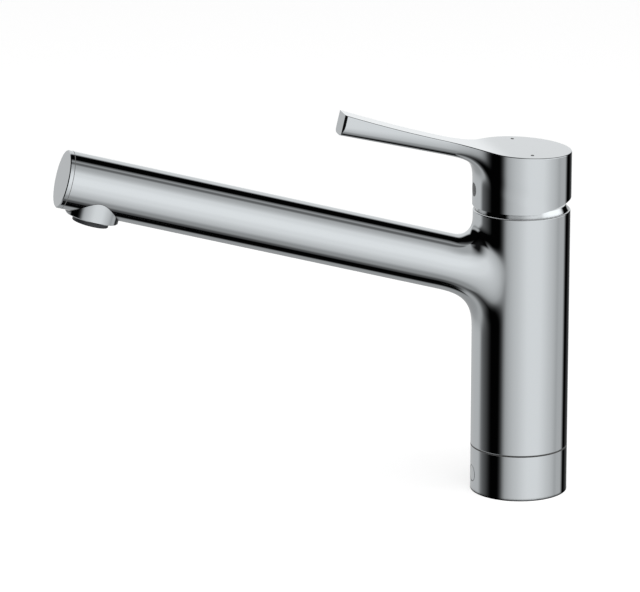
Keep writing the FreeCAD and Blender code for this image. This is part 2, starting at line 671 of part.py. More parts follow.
def aerator_washer():
    return placed(ring(AERATOR_R, AERATOR_R - WASHER_W, AERATOR_SEAT, AERATOR_Z), OUTLET_FRAME)


def aerator_housing():
    tube = ring(AERATOR_R, AERATOR_BORE_R, AERATOR_Z, AERATOR_BOTTOM)
    lip = ring(AERATOR_R, AERATOR_BORE_R - AERATOR_LIP, AERATOR_BOTTOM - AERATOR_LIP_T, AERATOR_BOTTOM)
    return placed(tube.fuse(lip), OUTLET_FRAME)


def aerator_insert():
    low = AERATOR_BOTTOM - AERATOR_LIP_T - MESH_T
    body = disc(AERATOR_BORE_R - FIT_CLEAR, AERATOR_Z, low)
    holes = []
    for circle in INSERT_HOLE_RINGS:
        spacing = 2 * INSERT_HOLE_D
        count = int(2 * math.pi * circle / spacing)
        holes += around(disc(INSERT_HOLE_D / 2, AERATOR_Z - OVERRUN, low + OVERRUN, circle), count)
    return placed(body.cut(holes), OUTLET_FRAME)


def aerator_mesh():
    high = AERATOR_BOTTOM - AERATOR_LIP_T
    return placed(disc(AERATOR_BORE_R - FIT_CLEAR, high - MESH_T, high), OUTLET_FRAME)


# Handle and lever

def top_z(x):
    """Height of the handle's top: a tilted plane that starts to climb towards the tip."""
    plane = HANDLE_TOP - x * math.tan(math.radians(HANDLE_TOP_TILT))
    out = max(-x - LEVER_RISE_START, 0)
    whole = LEVER_REACH - LEVER_RISE_START
    first = math.tan(math.radians(LEVER_FIRST_TILT))
    bend = (LEVER_RISE - first * whole) / whole ** 2
    return plane + first * out + bend * out ** 2


def curve(points):
    """A smooth edge through points."""
    spline = Part.BSplineCurve()
    spline.interpolate(points)
    return spline.toShape()


def wide_solid(edges, half_width):
    """A solid from an outline in the XZ plane, carried as far each side of it."""
    face = Part.Face(Part.Wire(edges))
    face.translate(V(0, -half_width, 0))
    return face.extrude(V(0, 2 * half_width, 0))


def above_top():
    """Everything above the top of the handle and lever."""
    back = 2 * HANDLE_R
    front = -LEVER_REACH - LEVER_TIP_T
    high = HANDLE_TOP + 2 * LEVER_REACH
    steps = 6
    climb = []
    for step in range(steps + 1):
        x = -LEVER_RISE_START + (front + LEVER_RISE_START) * step / steps
        climb.append(V(x, 0, top_z(x)))
    edges = [
        Part.makeLine(V(back, 0, top_z(back)), climb[0]),
        curve(climb),
        Part.makeLine(climb[-1], V(front, 0, high)),
        Part.makeLine(V(front, 0, high), V(back, 0, high)),
        Part.makeLine(V(back, 0, high), V(back, 0, top_z(back))),
    ]
    return wide_solid(edges, 2 * HANDLE_R)


def handle_relief():
    """The wedge cut away under the back of the handle, which lets the lever tip up."""
    reach = 2 * HANDLE_R
    rise = (reach - HANDLE_RELIEF_START) * math.tan(math.radians(HANDLE_RELIEF_TILT))
    corners = [
        V(HANDLE_RELIEF_START, 0, HANDLE_Z - OVERRUN),
        V(reach, 0, HANDLE_Z - OVERRUN),
        V(reach, 0, HANDLE_Z + rise),
        V(HANDLE_RELIEF_START, 0, HANDLE_Z),
    ]
    return wide_solid(Part.makePolygon(corners + corners[:1]).Edges, reach)


def flare_centre():
    """Centre of the plan radius beside the lever, as distances along X and Y."""
    y = LEVER_WIDTH / 2 + LEVER_FLARE
    x = math.sqrt(max((HANDLE_R + LEVER_FLARE) ** 2 - y ** 2, 0))
    return x, y


def lever_plan():
    """The lever's outline seen from above, carried up as a tall solid."""
    half = LEVER_WIDTH / 2
    tip = -LEVER_REACH - LEVER_TIP_T
    x, y = flare_centre()
    share = HANDLE_R / (HANDLE_R + LEVER_FLARE)
    angle = (math.atan2(y, x) + math.pi / 2) / 2
    leave = V(-x * share, y * share, HANDLE_Z)
    middle = V(-x + LEVER_FLARE * math.cos(angle), y - LEVER_FLARE * math.sin(angle), HANDLE_Z)
    start = V(-x, half, HANDLE_Z)

    def across(point):
        return V(point.x, -point.y, point.z)

    edges = [
        Part.makeLine(V(0, 0, HANDLE_Z), leave),
        Part.Arc(leave, middle, start).toShape(),
        Part.makeLine(start, V(tip, half, HANDLE_Z)),
        Part.makeLine(V(tip, half, HANDLE_Z), V(tip, -half, HANDLE_Z)),
        Part.makeLine(V(tip, -half, HANDLE_Z), across(start)),
        Part.Arc(across(start), across(middle), across(leave)).toShape(),
        Part.makeLine(across(leave), V(0, 0, HANDLE_Z)),
    ]
    return Part.Face(Part.Wire(edges)).extrude(V(0, 0, HANDLE_H + LEVER_REACH))


def tip_foot():
    """Lower corner of the lever's tip, as x and z."""
    lean = math.radians(LEVER_TIP_LEAN)
    x = -LEVER_REACH - LEVER_TIP_T * math.sin(lean)
    return x, top_z(-LEVER_REACH) - LEVER_TIP_T * math.cos(lean)


def under_z(x):
    """Height of the lever's straight underside at a distance along X."""
    foot_x, foot_z = tip_foot()
    return foot_z - (x - foot_x) * math.tan(math.radians(LEVER_UNDER_TILT))


def lever_profile():
    """The lever seen from the side, with its sloping underside and leaning tip."""
    foot_x, foot_z = tip_foot()
    high = HANDLE_H + LEVER_REACH
    lean_x = foot_x + high * math.tan(math.radians(LEVER_TIP_LEAN))
    corners = [
        V(0, 0, under_z(0)),
        V(foot_x, 0, foot_z),
        V(lean_x, 0, foot_z + high),
        V(0, 0, foot_z + high),
    ]
    return wide_solid(Part.makePolygon(corners + corners[:1]).Edges, 2 * HANDLE_R)


def heel_ring():
    """The rounded inside corner under the lever, turned all the way round the handle."""
    tilt = math.radians(LEVER_UNDER_TILT)
    centre_r = HANDLE_R + LEVER_HEEL
    centre_z = under_z(-centre_r) - LEVER_HEEL / math.cos(tilt)
    last_r = centre_r - LEVER_HEEL * math.sin(tilt)
    last_z = centre_z + LEVER_HEEL * math.cos(tilt)
    half_way = math.pi - (math.pi / 2 - tilt) / 2
    bend_r = centre_r + LEVER_HEEL * math.cos(half_way)
    bend_z = centre_z + LEVER_HEEL * math.sin(half_way)
    core_r = HANDLE_R - SKIRT_T / 2
    edges = [
        Part.makeLine(V(core_r, 0, centre_z), V(HANDLE_R, 0, centre_z)),
        Part.Arc(V(HANDLE_R, 0, centre_z), V(bend_r, 0, bend_z), V(last_r, 0, last_z)).toShape(),
        Part.makeLine(V(last_r, 0, last_z), V(last_r, 0, last_z + MERGE)),
        Part.makeLine(V(last_r, 0, last_z + MERGE), V(core_r, 0, last_z + MERGE)),
        Part.makeLine(V(core_r, 0, last_z + MERGE), V(core_r, 0, centre_z)),
    ]
    return Part.Face(Part.Wire(edges)).revolve(V(0, 0, 0), V(0, 0, 1), 360)


def lever_arm():
    """The lever with its rounded lower edges and the heel under its root."""
    plan = lever_plan()
    flare_end = -flare_centre()[0]
    arm = plan.common(lever_profile())
    lower = []
    for edge in arm.Edges:
        middle = edge.CenterOfMass
        on_side = abs(abs(middle.y) - LEVER_WIDTH / 2) < NEAR
        if on_side and middle.x < flare_end and abs(middle.z - under_z(middle.x)) < NEAR:
            lower.append(edge)
    heel = heel_ring().common(plan)
    return arm.makeFillet(LEVER_LOWER_ROUND, lower).fuse(heel)


def handle():
    drum = disc(HANDLE_R, HANDLE_Z, HANDLE_TOP + HANDLE_R)
    body = drum.fuse(lever_arm()).cut([above_top(), handle_relief()])
    roof_z = top_z(HANDLE_R) - HANDLE_ROOF
    cavity = disc(HANDLE_BORE_R, HANDLE_Z - OVERRUN, roof_z)
    skirt = disc(SKIRT_BORE_R, HANDLE_Z - OVERRUN, HANDLE_Z + SKIRT_DEPTH)
    body = body.cut([cavity, skirt]).fuse(disc(BOSS_D / 2, BOSS_Z, roof_z + MERGE))
    half = SPINDLE_SQUARE / 2 + FIT_CLEAR
    cuts = [
        block(-half, half, half, BOSS_Z - OVERRUN, SPINDLE_TOP + FIT_CLEAR),
        rod_x(GRIP_SCREW_D / 2, -BOSS_D / 2 - OVERRUN, 0, GRIP_SCREW_Z),
        rod_x(ACCESS_D / 2, -HANDLE_R - OVERRUN, -BOSS_D / 2 - OVERRUN, GRIP_SCREW_Z),
        plug_blank(FIT_CLEAR),
    ]
    return body.cut(cuts + index_dot_blanks()).removeSplitter()


def plug_blank(clearance):
    """The plug in the handle's wall as a plain rod, with room round it when asked."""
    return rod_x(PLUG_D / 2 + clearance, -HANDLE_R - OVERRUN, -HANDLE_R + PLUG_T, GRIP_SCREW_Z)


def handle_screw_plug():
    return plug_blank(0).common(disc(HANDLE_R, HANDLE_Z, HANDLE_TOP))


def handle_grub_screw():
    outer = -BOSS_D / 2
    screw = rod_x(GRIP_SCREW_D / 2, outer, -SPINDLE_SQUARE / 2, GRIP_SCREW_Z)
    return screw.cut(hexagon(GRIP_HEX_D, outer, outer + GRIP_HEX_DEPTH, GRIP_SCREW_Z))


def index_dot_blanks():
    """The two small dots let into the handle's top face."""
    blanks = []
    for side in (-1, 1):
        dot = disc(DOT_D / 2, -DOT_T, 0)
        dot.rotate(V(0, 0, 0), V(0, 1, 0), HANDLE_TOP_TILT)
        dot.translate(V(0, side * DOT_AT, HANDLE_TOP))
        blanks.append(dot)
    return blanks


def index_dots():
    return Part.makeCompound(index_dot_blanks())


NODES = {
    "base_housing": base_housing,
    "base_screw_cover": base_screw_cover,
    "base_clamp_screw": base_clamp_screw,
    "base_gasket": base_gasket,
    "mounting_foot": mounting_foot,
    "foot_screws": foot_screws,
    "swivel_stop_pin": swivel_stop_pin,
    "inner_body": inner_body,
    "lower_swivel_seal": lambda: swivel_seal(LOWER_SEAL_Z),
    "upper_swivel_seal": lambda: swivel_seal(UPPER_SEAL_Z),
    "lower_bearing_ring": lower_bearing_ring,
    "upper_bearing_ring": upper_bearing_ring,
    "cartridge_base": cartridge_base,
    "cartridge_port_seals": cartridge_port_seals,
    "fixed_disc": fixed_disc,
    "cartridge_housing": cartridge_housing,
    "moving_disc": moving_disc,
    "disc_carrier": disc_carrier,
    "lever_guide": lever_guide,
    "pivot_pin": pivot_pin,
    "spindle": spindle,
    "cartridge_nut": cartridge_nut,
    "trim_o_ring": trim_o_ring,
    "trim_ring": trim_ring,
    "spout_body": spout_body,
    "spout_end_cap": spout_end_cap,
    "end_cap_o_ring": end_cap_o_ring,
    "outlet_collar": outlet_collar,
    "aerator_washer": aerator_washer,
    "aerator_housing": aerator_housing,
    "aerator_insert": aerator_insert,
    "aerator_mesh": aerator_mesh,
    "handle": handle,
    "handle_screw_plug": handle_screw_plug,
    "handle_grub_screw": handle_grub_screw,
    "index_dots": index_dots,
}


def main():
    os.makedirs("parts", exist_ok=True)
    for name, make in NODES.items():
        shape = make()
        shape.exportStep("parts/" + name + ".step")
        print(name, "solids", len(shape.Solids), "volume", round(shape.Volume, 1), shape.isValid())


main()
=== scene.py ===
import math

import bmesh
import bpy
import numpy as np
from mathutils import Matrix, Vector


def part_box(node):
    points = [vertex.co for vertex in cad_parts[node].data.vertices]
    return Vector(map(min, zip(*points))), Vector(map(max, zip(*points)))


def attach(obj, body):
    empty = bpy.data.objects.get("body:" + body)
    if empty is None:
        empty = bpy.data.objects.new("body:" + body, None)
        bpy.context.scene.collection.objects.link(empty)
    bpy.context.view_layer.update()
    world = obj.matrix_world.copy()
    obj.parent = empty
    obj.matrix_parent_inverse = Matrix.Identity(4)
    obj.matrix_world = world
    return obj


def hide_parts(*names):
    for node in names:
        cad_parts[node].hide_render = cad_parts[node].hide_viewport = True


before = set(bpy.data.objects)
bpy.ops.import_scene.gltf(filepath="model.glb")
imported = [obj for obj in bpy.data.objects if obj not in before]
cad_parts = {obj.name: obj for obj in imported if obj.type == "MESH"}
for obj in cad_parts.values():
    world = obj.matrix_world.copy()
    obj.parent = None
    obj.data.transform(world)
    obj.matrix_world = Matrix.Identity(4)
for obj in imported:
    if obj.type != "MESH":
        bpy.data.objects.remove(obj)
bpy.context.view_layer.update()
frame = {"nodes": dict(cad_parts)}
nodes = frame["nodes"]

MM = 0.001

# Camera, as the photograph sees the tap
CAMERA_AZIMUTH = -13.35
CAMERA_ELEVATION = 15.5
CAMERA_DISTANCE = 2250 * MM
CAMERA_AIM = Vector((-105.7, 0, 109.4)) * MM
IMAGE_WIDTH_PX = 640
FOCAL_PX = 4435
SENSOR_WIDTH = 36.0

# The studio round the tap. A pool of light has its middle as azimuth and elevation, and its greys go by the
# angle from there, in degrees.
FRONT_SOFTBOX = (-73, 10)
FRONT_FADE = {
    0: "#DDDDDD", 10: "#DCDCDC", 20: "#D4D4D4", 30: "#D1D1D1", 38: "#C7C7C7",
    46: "#BDBDBD", 54: "#B5B5B5", 62: "#AAAAAA", 70: "#999999", 76: "#828282",
    80: "#646464", 84: "#494949", 88: "#2E2E2E", 92: "#0C0C0C", 96: "#010101",
}
BACK_SOFTBOX = (108, -50)
BACK_FADE = {
    0: "#8E8E8E", 20: "#909090", 27: "#969696", 32: "#9C9C9C", 36: "#9C9C9C",
    40: "#989898", 44: "#868686", 48: "#6C6C6C", 52: "#565656", 57: "#424242",
    61: "#323232", 65: "#1E1E1E", 68: "#030303",
}
# Panels and flags in front of the pools, later ones over earlier ones: azimuth, elevation, half width,
# half height, soft edge, grey
PANELS = {
    "right reflector": (5, -15, 13, 22, 14, "#A4A4A4"),
    "left flag": (-165, -12, 16, 20, 24, "#020202"),
    "low reflector": (-83, -60, 40, 8, 16, "#8A8A8A"),
    "pale backdrop": (84, 14, 30, 24, 14, "#C8C8C8"),
    "low backdrop": (112, -10, 34, 10, 14, "#B0B0B0"),
    "bright strip": (75, -4, 10, 14, 12, "#E4E4E4"),
    "grey ceiling": (-60, 75, 60, 28, 30, "#9C9C9C"),
    "ceiling gap": (-13, 62, 11, 14, 14, "#5E5E5E"),
    "overhead flag": (38, 50, 18, 12, 10, "#020202"),
    "black flag": (-168, 52, 26, 38, 14, "#020202"),
    "corner shade": (-130, 58, 36, 25, 38, "#121212"),
    "left glow": (134, 8, 20, 6, 10, "#A0A0A0"),
    "side strip": (-15, 16, 34, 9, 12, "#FFFFFF"),
    "table edge": (83, -78, 60, 8, 12, "#020202"),
    "black table": (0, -90, 180, 11, 10, "#020202"),
}
ROOM_LEVEL = 1.26

# Lamp and floor, in metres and watts
LAMP_PLACE = Vector((-0.3, -0.4, 1.6))
LAMP_AIM = Vector((-0.1, 0, 0.05))
LAMP_SIZE = 1.2
LAMP_POWER = 9.0
FLOOR_RADIUS = 3.0
FLOOR_SIDES = 64
FLOOR_GLOW = 0.7

# Handle, in millimetres until its mesh is made
HANDLE_EDGE = 0.6           # round along the top edge
HANDLE_TOP_TILT = 3.47      # degrees, as every tilt and lean here
TOP_BEND_START = 9.0        # from the axis to where the top starts to climb
TOP_BEND_END = 27.0
TOP_SLOPE_AT_NECK = 0.245
TOP_SLOPE_AT_TIP = 0.348
LEVER_HALF_WIDTH = 7.0
LEVER_FLARE = 34.0          # radius in plan where the lever runs into the drum
FLARE_START = 0.75          # share of the drum's radius from which the flare's width is followed outward
LEVER_HEEL = 16.0           # round between the underside and the drum's wall
LEVER_TIP_LEAN = 13.0
LEVER_TIP_T = 11.2
LEVER_UNDER_TILT = 13.7
LEVER_TIP_CHAMFER = 1.2
# Reach of the lever's lower rounding, by the distance from the axis: across the underside, and up the side
ROUND_UNDER = ((42.0, 70.0, 96.0), (6.8, 6.4, 5.5))
ROUND_UP_SIDE = ((18.0, 30.0, 43.0, 55.0, 70.0, 96.0), (15.0, 15.0, 13.5, 12.0, 10.0, 7.5))
ROUND_IN_FLARE = 0.97       # share of the half width that the lower rounding takes beside the flares
SKIN_INSET = 0.04           # the plug and the dots stand this far proud of the chrome
HANDLE_WALL = 2.9
SKIRT_T = 1.3
SKIRT_DEPTH = 5.7
HANDLE_ROOF = 6.5
RELIEF_START = 0.8
RELIEF_TILT = 10.0

# How the castings' meshes are made
SKIN_CELL = 0.8
SKIN_PAD = 3 * SKIN_CELL    # room left round a form in its grid
SLOPE_STEP = 0.01           # step over which a slope is measured
SETTLE_ROUNDS = 4           # steps that bring a corner onto the true surface
ROUND_TURNS = (22.5, 45.0, 67.5, 90.0)  # rings of a small edge round, in degrees
ON_PLANE = 1e-3             # a corner this near to a cut lies on it
CUT_SLACK = 1e-5
TINY = 1e-9                 # keeps a division away from nought
FLUSH = 0.99999             # cosine past which two surfaces count as one
SAME_FACE = 0.85            # cosine between a facet and the true surface that it stands for

# Column and spout, in millimetres until their mesh is made
COLUMN_HEIGHT = 125.0
COLUMN_WALL = 3.55
RIM_ROUND = 0.5
RIM_LIP = 1.0
TRIM_STEP = 3.1
FOOT_ROUND = 0.5
SPOUT_RADIUS = 14.7
SPOUT_TILT = 15.44
SPOUT_DROP = 36.3
# Radius of the blend between column and spout: a smooth curve through these, by the cosine of the angle
# from the spout's top, so from -1 under the spout to 1 over it
SPOUT_BLEND = ((-1.0, -0.4, 0.4, 1.0), (31.0, 52.0, 32.0, 9.6))
BLEND_FOOT = 32.0           # the blend lies above this height on the column
BLEND_REACH = 80.0          # and within this distance along the spout
# The spout's end: distance along it and radius
SPOUT_END = ((243.8, 14.7), (243.8, 12.5), (230.0, 12.5))

# Screw cover in the base, in millimetres until its mesh is made
COVER_JOINT = 0.22          # open joint round the cover
COVER_ROUND = 0.35
COVER_DEPTH = 1.0
COVER_SIDES = 48
COVER_RINGS = (0.75, 0.5, 0.25)  # rings on its face, as shares of the face's radius

# Painted shade in narrow joints, from ambient occlusion: how far one darkens round itself, and how open a
# place is where the painted shade turns black or clear
JOINT_SHADE_MM = 1.8
JOINT_SHADE_BLACK = 0.65
JOINT_SHADE_CLEAR = 0.9
JOINT_SHADE_SAMPLES = 8


def linear(colour):
    """An sRGB hex colour as linear RGBA."""
    parts = [int(colour[i:i + 2], 16) / 255 for i in (1, 3, 5)]
    return (*[p / 12.92 if p <= 0.04045 else ((p + 0.055) / 1.055) ** 2.4 for p in parts], 1.0)


def add(tree, kind, inputs=None, **settings):
    """Adds one node with its settings. Each input is a value, or the socket that feeds it."""
    node = tree.nodes.new(kind)
    for name, value in settings.items():
        setattr(node, name, value)
    for name, value in (inputs or {}).items():
        if isinstance(value, bpy.types.NodeSocket):
            tree.links.new(value, node.inputs[name])
        else:
            node.inputs[name].default_value = value
    return node


def new_material(name):
    """A material with an empty node tree."""
    material = bpy.data.materials.new(name)
    material.use_nodes = True
    material.node_tree.nodes.clear()
    return material, material.node_tree


def direction(azimuth, elevation):
    """Unit vector; azimuth runs from +X towards +Y."""
    around, above = math.radians(azimuth), math.radians(elevation)
    flat = math.cos(above)
    return Vector((math.cos(around) * flat, math.sin(around) * flat, math.sin(above)))


def painted_joint_shade(tree, colour):
    """Painted shade: a colour darkened by ambient occlusion down in narrow joints, where no light comes in.
    """
    nearby = add(tree, "ShaderNodeAmbientOcclusion", {"Distance": JOINT_SHADE_MM * MM}, samples=JOINT_SHADE_SAMPLES)
    open_air = add(tree, "ShaderNodeMapRange", {
        "Value": nearby.outputs["AO"],
        "From Min": JOINT_SHADE_BLACK,
        "From Max": JOINT_SHADE_CLEAR,
    })
    shade = add(tree, "ShaderNodeMix", {
        0: open_air.outputs[0],
        6: linear("#0E0F10"),
        7: linear(colour),
    }, data_type="RGBA")
    return shade.outputs[2]


def chrome_plate():
    """Chromium plate on polished brass: a slightly cool mirror with the faint waves that buffing leaves."""
    material, tree = new_material("chrome_plate")
    place = add(tree, "ShaderNodeTexCoord").outputs["Object"]
    # Haze in patches of about 9 mm, and waves about 14 mm long and 0.01 mm high
    haze = add(tree, "ShaderNodeTexNoise", {"Vector": place, "Scale": 1 / (9 * MM), "Detail": 2.0})
    gloss = add(tree, "ShaderNodeMapRange", {"Value": haze.outputs[0], "To Min": 0.02, "To Max": 0.05})
    waves = add(tree, "ShaderNodeTexNoise", {"Vector": place, "Scale": 1 / (14 * MM), "Detail": 1.0})
    buffed = add(tree, "ShaderNodeBump", {
        "Height": waves.outputs[0],
        "Distance": 0.01 * MM,
        "Strength": 0.5,
    })
    chrome = add(tree, "ShaderNodeBsdfPrincipled", {
        # Base colour with painted shade down in narrow joints
        "Base Color": painted_joint_shade(tree, "#E2E7EA"),
        "Metallic": 1.0,
        "Roughness": gloss.outputs[0],
        "Normal": buffed.outputs[0],
    })
    add(tree, "ShaderNodeOutputMaterial", {"Surface": chrome.outputs[0]})
    return material


def moulded(name, colour, grain_mm, roughness):
    """Moulded plastic, rubber or ceramic: one colour through, with a fine grain and a soft gloss."""
    material, tree = new_material(name)
    place = add(tree, "ShaderNodeTexCoord").outputs["Object"]
    grain = add(tree, "ShaderNodeTexNoise", {"Vector": place, "Scale": 1 / (grain_mm * MM), "Detail": 3.0})
    bump = add(tree, "ShaderNodeBump", {
        "Height": grain.outputs[0],
        "Distance": 0.05 * grain_mm * MM,
        "Strength": 0.4,
    })
    matt = add(tree, "ShaderNodeMapRange", {
        "Value": grain.outputs[0],
        "To Min": roughness - 0.06,
        "To Max": roughness + 0.06,
    })
    plastic = add(tree, "ShaderNodeBsdfPrincipled", {
        # Base colour with painted shade down in narrow joints
        "Base Color": painted_joint_shade(tree, colour),
        "Roughness": matt.outputs[0],
        "Normal": bump.outputs[0],
    })
    add(tree, "ShaderNodeOutputMaterial", {"Surface": plastic.outputs[0]})
    return material


def turned(name, colour, feed_mm, roughness):
    """Metal as it leaves the lathe: fine rings round the upright axis, one for each feed of the tool."""
    material, tree = new_material(name)
    place = add(tree, "ShaderNodeTexCoord").outputs["Object"]
    # At a scale of one, this texture's bands are 2 pi / 20 apart
    rings = add(tree, "ShaderNodeTexWave", {
        "Vector": place,
        "Scale": 2 * math.pi / (20 * feed_mm * MM),
        "Distortion": 0.6,
        "Detail": 1.0,
    }, wave_type="BANDS", bands_direction="Z")
    bump = add(tree, "ShaderNodeBump", {"Height": rings.outputs[1], "Distance": 0.01 * MM, "Strength": 0.6})
    metal = add(tree, "ShaderNodeBsdfPrincipled", {
        "Base Color": linear(colour),
        "Metallic": 1.0,
        "Roughness": roughness,
        "Normal": bump.outputs[0],
    })
    add(tree, "ShaderNodeOutputMaterial", {"Surface": metal.outputs[0]})
    return material


def unit(vectors):
    """Vectors drawn to a length of one."""
    return vectors / np.maximum(np.linalg.norm(vectors, axis=-1, keepdims=True), TINY)


def rounded(a, way_a, b, way_b, reach_a, reach_b):
    """The edge where two surfaces cross, rounded over the given reaches, as a field and the way it faces.

    The round swells a little in its middle, so that it runs into both surfaces without a jump in its bend.
    """
    cosine = (way_a * way_b).sum(-1)
    flush = cosine > FLUSH
    spread = np.where(flush, 1, 1 - cosine ** 2)
    from_a = 1 + a / reach_a
    from_b = 1 + b / reach_b
    lead_a = (from_a - cosine * from_b) / spread
    lead_b = (from_b - cosine * from_a) / spread
    arm = lead_a[..., None] * way_a + lead_b[..., None] * way_b
    rolling = (lead_a > 0) & (lead_b > 0) & ~flush
    turn = np.arccos(np.clip(cosine, -1, FLUSH))
    part = np.arccos(np.clip((unit(arm) * way_a).sum(-1), -1, 1))
    swell = (turn / (2 * np.pi)) ** 2 * (1 - np.cos(2 * np.pi * part / turn))
    field = np.where(rolling, np.linalg.norm(arm, axis=-1) - swell, np.maximum(from_a, from_b)) - 1
    plain = np.where((from_a > from_b)[..., None], way_a, way_b)
    return field * reach_a, np.where(rolling[..., None], unit(arm), plain)


def slope_of(field, points):
    """How a field grows at each point, along X, Y and Z."""
    slopes = []
    for shift in SLOPE_STEP * np.eye(3):
        slopes.append((field(points + shift) - field(points - shift)) / (2 * SLOPE_STEP))
    return np.stack(slopes, -1)


def settle(field, points):
    """Moves points onto the surface where the field is nought."""
    for _ in range(SETTLE_ROUNDS):
        slope = slope_of(field, points)
        points = points - (field(points) / (slope ** 2).sum(-1))[:, None] * slope
    return points


def tube_distance(points, start, along, radius):
    """Distance and outward way from a tube that begins with a round end."""
    offset = points - start
    reach = np.maximum(offset @ along, 0)
    away = offset - reach[..., None] * along
    return np.linalg.norm(away, axis=-1) - radius, unit(away)


class HandleForm:
    """The handle's outside: a drum with a tilted top that climbs smoothly along a flat lever.

    The distance u runs from the axis towards the lever's tip.
    """

    def __init__(self):
        low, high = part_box("handle")
        self.bottom = low.z / MM
        self.radius = high.x / MM - SKIN_INSET
        self.tip = -low.x / MM
        self.tip_top = high.z / MM - SKIN_INSET
        self.tilt = math.tan(math.radians(HANDLE_TOP_TILT))
        self.flare_y = LEVER_HALF_WIDTH + LEVER_FLARE
        self.flare_u = math.sqrt((self.radius + LEVER_FLARE) ** 2 - self.flare_y ** 2)
        lean = math.radians(LEVER_TIP_LEAN)
        self.tip_way = np.array([-math.cos(lean), 0, math.sin(lean)])
        self.foot = np.array([-self.tip, 0, self.tip_top - LEVER_TIP_T * math.cos(lean)])
        self.tip_u = self.tip - LEVER_TIP_T * math.sin(lean)
        self.axis_top = 0.0
        self.axis_top = self.tip_top - self.top(-self.tip_u)

    def top(self, x):
        """Height of the top face: flat and tilted over the drum, then climbing."""
        u = -np.asarray(x, float)
        bend = TOP_BEND_END - TOP_BEND_START
        share = np.clip((u - TOP_BEND_START) / bend, 0, 1)
        extra = TOP_SLOPE_AT_NECK - self.tilt
        rise = extra * bend * (share ** 3 - share ** 4 / 2)
        beyond = np.maximum(u - TOP_BEND_END, 0)
        steeper = (TOP_SLOPE_AT_TIP - TOP_SLOPE_AT_NECK) / (self.tip_u - TOP_BEND_END)
        return self.axis_top + self.tilt * u + rise + extra * beyond + steeper * beyond ** 2 / 2

    def top_way(self, x):
        """The upward way, square to the top face."""
        slope = (self.top(x + SLOPE_STEP) - self.top(x - SLOPE_STEP)) / (2 * SLOPE_STEP)
        return unit(np.stack([-slope, np.zeros_like(slope), np.ones_like(slope)], -1))

    def half_width(self, u):
        """Half the plan's width beside the flares, and along the lever."""
        along = np.clip(self.flare_u - u, 0, self.flare_u - self.radius * FLARE_START)
        return self.flare_y - np.sqrt(LEVER_FLARE ** 2 - along ** 2)

    def plan(self, points):
        """The outline seen from above: drum, flares and straight sides."""
        x, y = points[..., 0], points[..., 1]
        flat = np.zeros_like(x)
        side = np.where(y < 0, -1.0, 1.0)
        u, across = -x, np.abs(y)
        along = self.flare_u - u
        away = self.flare_y - across
        straight = u > self.flare_u
        flared = ~straight & (across * self.flare_u < u * self.flare_y)
        flare = LEVER_FLARE - np.hypot(along, away)
        round_part = np.where(flared, flare, np.hypot(x, y) - self.radius)
        distance = np.where(straight, across - LEVER_HALF_WIDTH, round_part)
        flare_way = np.stack([-along, away * side, flat], -1)
        round_way = np.where(flared[..., None], flare_way, np.stack([x, y, flat], -1))
        side_way = np.stack([flat, side, flat], -1)
        return distance, unit(np.where(straight[..., None], side_way, round_way))

    def under(self, points):
        """The lever's underside, and the heel that carries it down into the drum's wall."""
        x, y = points[..., 0], points[..., 1]
        tilt = math.radians(LEVER_UNDER_TILT)
        down = np.array([-math.sin(tilt), 0, -math.cos(tilt)])
        below = (points - self.foot) @ down
        drum = np.hypot(x, y) - self.radius
        drum_way = unit(np.stack([x, y, np.zeros_like(x)], -1))
        down_way = np.broadcast_to(down, points.shape)
        distance, way = rounded(-drum, -drum_way, -below, -down_way, LEVER_HEEL, LEVER_HEEL)
        return -distance, -way

    def skin(self, points):
        """The side skin without top and end: its edges grow rounder from the tip to the drum."""
        u = -points[..., 0]
        beside_flare = ROUND_IN_FLARE * self.half_width(u)
        inward = np.where(u < self.flare_u, beside_flare, np.interp(u, *ROUND_UNDER))
        upward = np.interp(u, *ROUND_UP_SIDE)
        return rounded(*self.plan(points), *self.under(points), inward, upward)[0]


class ColumnForm:
    """The outside of the column and its spout, blended as the cast form is."""

    def __init__(self):
        low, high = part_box("spout_body")
        self.foot = low.z / MM
        self.rim = self.foot + COLUMN_HEIGHT
        self.radius = high.x / MM
        tilt = math.radians(SPOUT_TILT)
        self.along = np.array([-math.cos(tilt), 0, math.sin(tilt)])
        self.up = np.array([math.sin(tilt), 0, math.cos(tilt)])
        self.start = np.array([0, 0, self.rim - SPOUT_DROP])
        self.blend = np.polyfit(*SPOUT_BLEND, 3)

    def skin(self, points):
        """Column and spout with the blend between them."""
        x, y = points[..., 0], points[..., 1]
        column = np.hypot(x, y) - self.radius
        column_way = unit(np.stack([x, y, np.zeros_like(x)], -1))
        tube, tube_way = tube_distance(points, self.start, self.along, SPOUT_RADIUS)
        reach = np.polyval(self.blend, tube_way @ self.up)
        return -rounded(-column, -column_way, -tube, -tube_way, reach, reach)[0]


